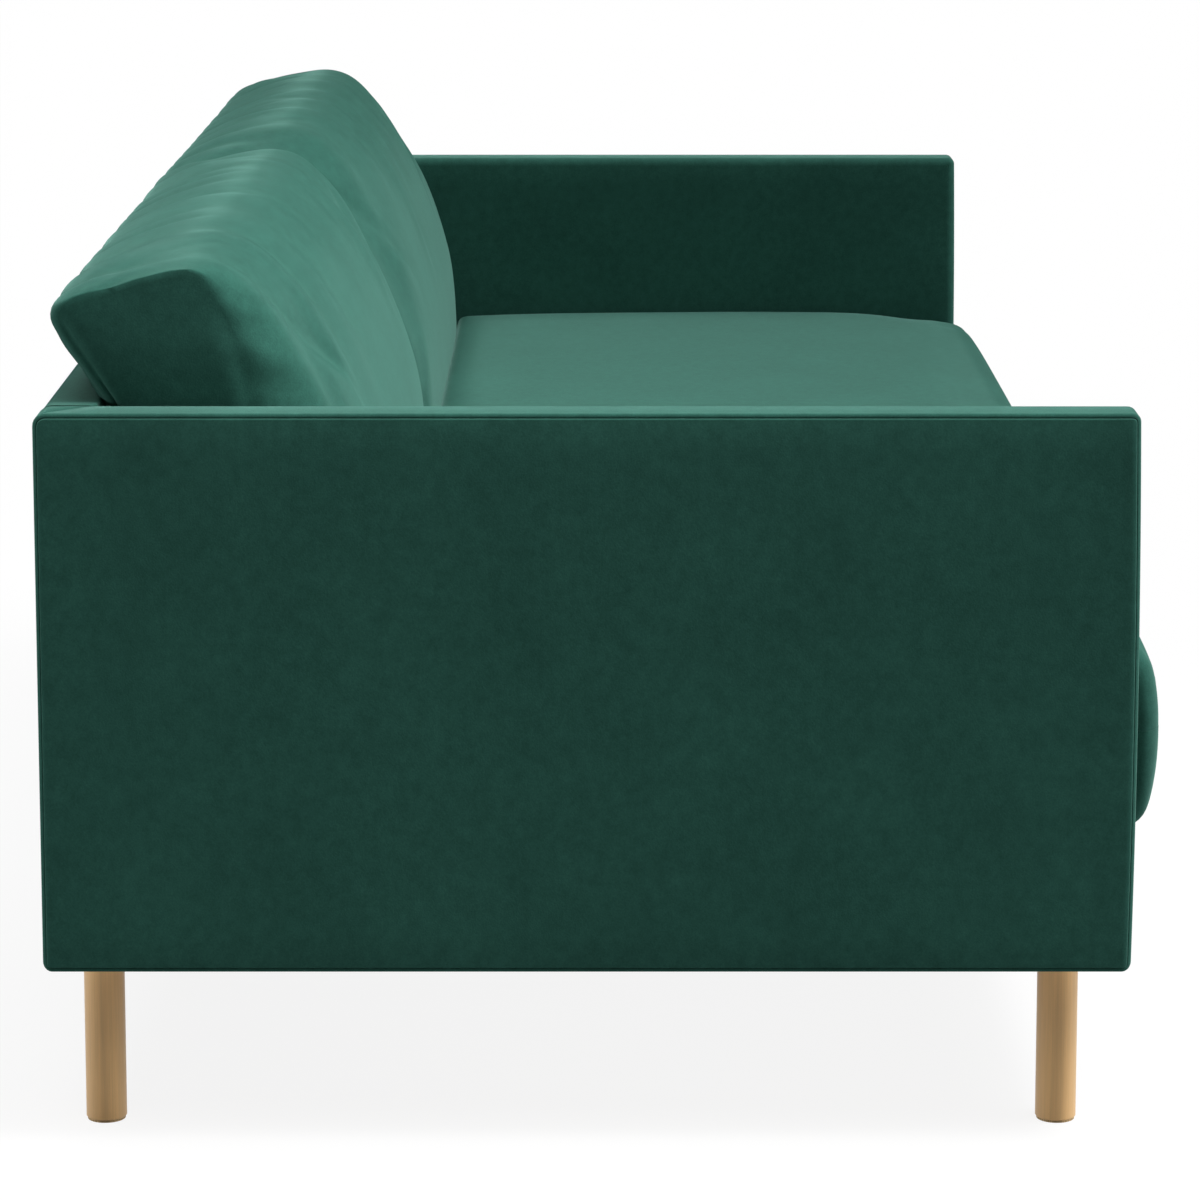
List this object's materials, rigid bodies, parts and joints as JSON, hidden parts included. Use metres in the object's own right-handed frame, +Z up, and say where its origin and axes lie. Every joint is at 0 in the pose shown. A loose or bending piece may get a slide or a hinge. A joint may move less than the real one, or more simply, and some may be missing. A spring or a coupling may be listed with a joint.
{
  "type": "sofa bed",
  "caption": "Low three-seat sofa bed with thin boxed arms, loose back cushions, a fold-out bench mattress and a slatted base that pulls out on castors.",
  "frame": {"origin": "on the floor under the middle of the sofa's box", "axes": "+X along the sofa to its right-hand arm seen from the front, +Y to the back, +Z up"},
  "size_m": [2.06, 0.979, 0.78],
  "materials": {
    "velvet": "soft velvet pile with a sheen",
    "oak": "satin clear lacquer",
    "pine": "planed, unfinished",
    "birch": "sanded, laminated",
    "zinc": "zinc plated",
    "black_steel": "powder coated",
    "webbing": "woven elastic",
    "lining": "non-woven lining",
    "glide": "pressed felt",
    "nylon": "moulded",
    "rubber": "soft tread"
  },
  "bodies": {
    "sofa_frame": {"left_arm_cover": "velvet", "right_arm_cover": "velvet", "back_cover": "velvet", "lower_mattress": "velvet", "mattress_hinge_cord": "velvet", "front_left_leg": "oak", "rear_left_leg": "oak", "front_right_leg": "oak", "rear_right_leg": "oak", "center_leg": "oak", "left_arm_frame": "pine", "right_arm_frame": "pine", "back_frame": "pine", "left_side_rail": "pine", "right_side_rail": "pine", "rear_rail": "pine", "front_rail": "pine", "center_beam": "pine", "fixed_slats": "birch", "fixed_slat_screws": "zinc", "plate_screws": "zinc", "leg_studs": "zinc", "leg_plates": "zinc", "arm_bolts": "zinc", "back_bolts": "zinc", "left_runner": "zinc", "right_runner": "zinc", "back_webbing": "webbing", "dust_cover": "lining", "leg_glides": "glide", "stop_bumpers": "rubber"},
    "pullout_base": {"apron_cover": "velvet", "apron_board": "pine", "apron_batten": "pine", "apron_screws": "zinc", "pull_tab": "velvet", "sliding_slats": "birch", "sliding_slat_screws": "zinc", "slide_crossbar": "pine", "roller_axles": "zinc", "castor_blocks": "pine", "castor_stems": "black_steel", "castor_forks": "black_steel", "castor_axles": "zinc"},
    "upper_mattress": {"upper_mattress": "velvet"},
    "left_back_cushion": {"left_back_cushion": "velvet"},
    "right_back_cushion": {"right_back_cushion": "velvet"},
    "left_castor_wheel": {"left_castor_wheel": "rubber"},
    "right_castor_wheel": {"right_castor_wheel": "rubber"},
    "left_runner_roller": {"left_runner_roller": "nylon"},
    "right_runner_roller": {"right_runner_roller": "nylon"}
  },
  "joints": [
    {"name": "bed_pullout", "type": "slide", "parent": "sofa_frame", "child": "pullout_base", "axis": [0, -1, 0], "range_m": [0, 0.68]},
    {"name": "mattress_unfold", "type": "hinge", "parent": "sofa_frame", "child": "upper_mattress", "pos_m": [0, -0.4875, 0.3545], "axis": [1, 0, 0], "range_deg": [0, 180]},
    {"name": "left_cushion_lift", "type": "slide", "parent": "sofa_frame", "child": "left_back_cushion", "axis": [0, 0, 1], "range_m": [0, 0.32]},
    {"name": "right_cushion_lift", "type": "slide", "parent": "sofa_frame", "child": "right_back_cushion", "axis": [0, 0, 1], "range_m": [0, 0.32]},
    {"name": "left_castor_spin", "type": "hinge", "parent": "pullout_base", "child": "left_castor_wheel", "pos_m": [-0.43, -0.413, 0.025], "axis": [1, 0, 0], "range_deg": [-5, 1563.4]},
    {"name": "left_roller_spin", "type": "hinge", "parent": "pullout_base", "child": "left_runner_roller", "pos_m": [-0.911, 0.3373, 0.2055], "axis": [1, 0, 0], "range_deg": [-5, 3335]},
    {"name": "right_castor_spin", "type": "hinge", "parent": "pullout_base", "child": "right_castor_wheel", "pos_m": [0.43, -0.413, 0.025], "axis": [1, 0, 0], "range_deg": [-5, 1563.4]},
    {"name": "right_roller_spin", "type": "hinge", "parent": "pullout_base", "child": "right_runner_roller", "pos_m": [0.911, 0.3373, 0.2055], "axis": [1, 0, 0], "range_deg": [-5, 3335]}
  ],
  "couplings": [
    {"joint": "left_castor_spin", "follows": "bed_pullout", "rad_per_m": 40},
    {"joint": "left_roller_spin", "follows": "bed_pullout", "rad_per_m": 85.47},
    {"joint": "right_castor_spin", "follows": "bed_pullout", "rad_per_m": 40},
    {"joint": "right_roller_spin", "follows": "bed_pullout", "rad_per_m": 85.47}
  ]
}
